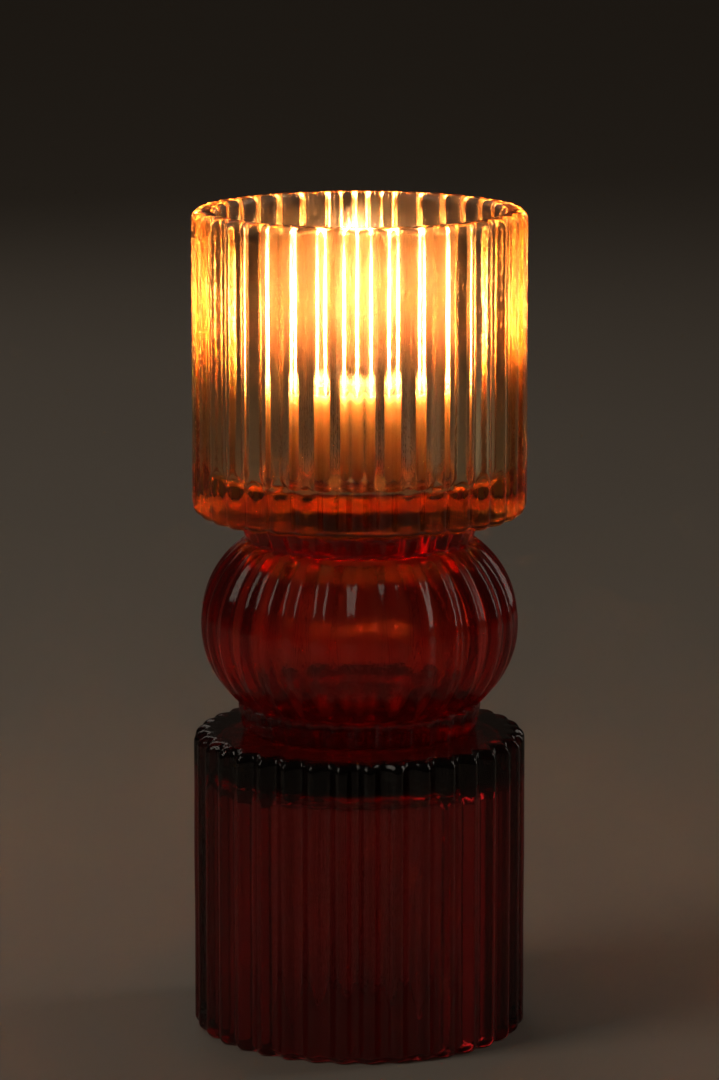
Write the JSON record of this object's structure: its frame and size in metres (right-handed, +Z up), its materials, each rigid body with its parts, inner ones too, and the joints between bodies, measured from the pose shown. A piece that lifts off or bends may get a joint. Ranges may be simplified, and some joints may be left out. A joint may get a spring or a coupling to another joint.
{
  "type": "tealight holder",
  "caption": "Stacked glass tealight holder: a ribbed cup on a fluted bulb on a ribbed base standing mouth down, with a clear-cup tealight in the cup.",
  "frame": {"origin": "centre of the rim that the holder stands on", "axes": "+Z up the axis of the column, towards the candle; the front faces -Y"},
  "size_m": [0.086, 0.086, 0.2137],
  "materials": {
    "honey_glass": "fire-polished pressed glass, pale honey",
    "ruby_glass": "fire-polished pressed glass, ruby",
    "rose_glass": "fire-polished pressed glass, deep rose",
    "cured_adhesive": "clear cured adhesive film",
    "clear_plastic": "clear moulded plastic, thin wall",
    "candle_wax": "translucent white wax, soft sheen",
    "molten_wax": "clear liquid wax, wet gloss",
    "cotton_wick": "braided cotton, charred at the tip",
    "sustainer_steel": "tin-plated pressed steel",
    "flame": "candle flame, light only"
  },
  "bodies": {
    "holder": {"cup_glass": "honey_glass", "head_bond": "cured_adhesive", "bulb_glass": "ruby_glass", "foot_bond": "cured_adhesive", "base_glass": "rose_glass"},
    "tealight": {"tealight_cup": "clear_plastic", "wax": "candle_wax", "wick": "cotton_wick", "wick_sustainer": "sustainer_steel"}
  },
  "joints": [
    {"name": "tealight_lift", "type": "slide", "parent": "holder", "child": "tealight", "axis": [0, 0, 1], "range_m": [0, 0.08]}
  ]
}
